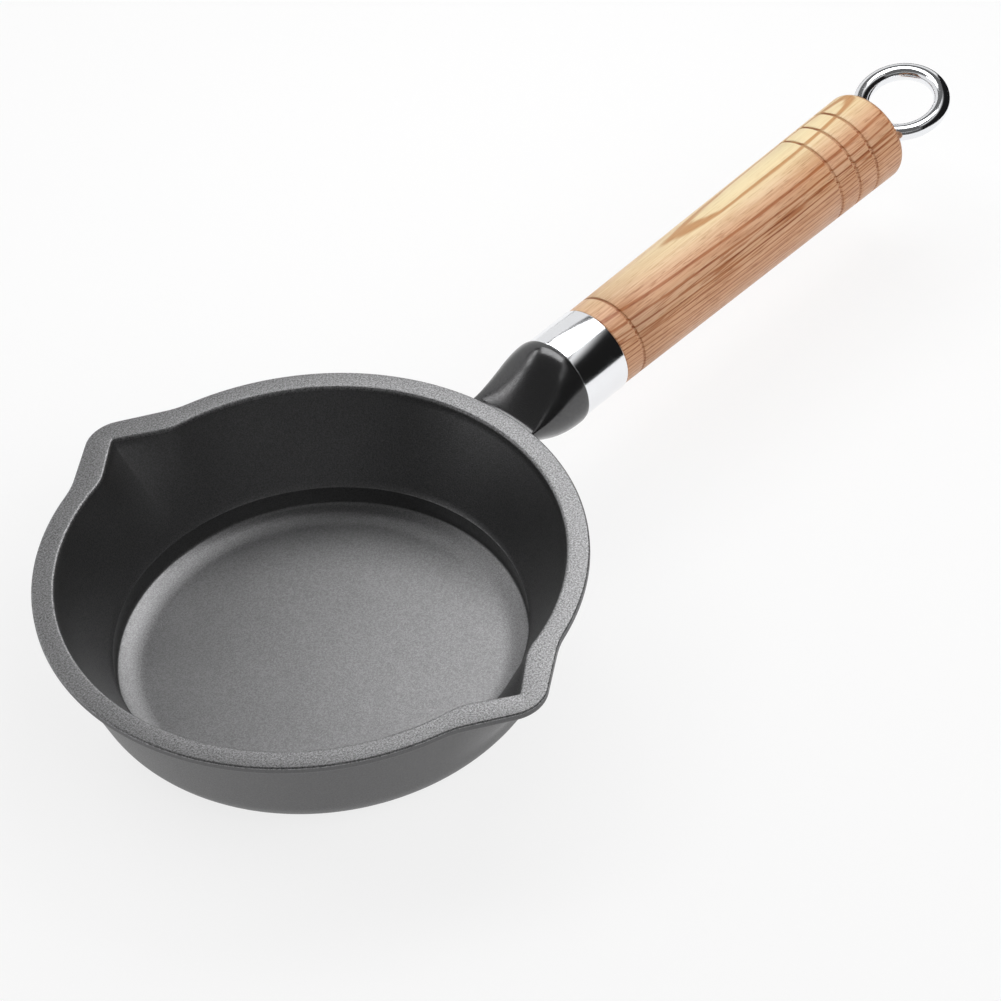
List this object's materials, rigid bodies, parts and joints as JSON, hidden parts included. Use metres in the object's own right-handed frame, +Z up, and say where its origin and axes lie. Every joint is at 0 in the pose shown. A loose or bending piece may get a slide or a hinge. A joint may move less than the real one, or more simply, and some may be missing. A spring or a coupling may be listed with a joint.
{
  "type": "cast iron pan",
  "caption": "Small round cast iron pan with pouring spouts on both sides and a turned wooden handle that a ring and its tie rod hold on.",
  "frame": {"origin": "centre of the underside of the pan's foot, on the surface that it stands on", "axes": "+X from the bowl's axis along the handle to the ring, +Z up, +Y to one of the two pouring spouts"},
  "size_m": [0.3108, 0.156, 0.0449],
  "materials": {
    "casting": "fine-grained dark grey coating, smooth gloss on the boss",
    "bright_metal": "polished chrome plate",
    "handle_wood": "oiled pale oak with open pores",
    "plain_steel": "plain zinc-bright steel"
  },
  "bodies": {
    "pan": {"pan_body": "casting", "ferrule": "bright_metal", "wood_handle": "handle_wood"},
    "washer": {"tail_washer": "plain_steel"},
    "ring": {"tie_rod": "plain_steel", "hanging_ring": "bright_metal"}
  },
  "joints": [
    {"name": "rod_travel", "type": "slide", "parent": "pan", "child": "washer", "axis": [1, 0, 0], "range_m": [0, 0.012]},
    {"name": "ring_turning", "type": "hinge", "parent": "washer", "child": "ring", "pos_m": [0.2145, 0, 0.032], "axis": [1, 0, 0], "range_deg": [0, 4320]}
  ],
  "couplings": [
    {"joint": "ring_turning", "follows": "rod_travel", "rad_per_m": 6283.2}
  ]
}
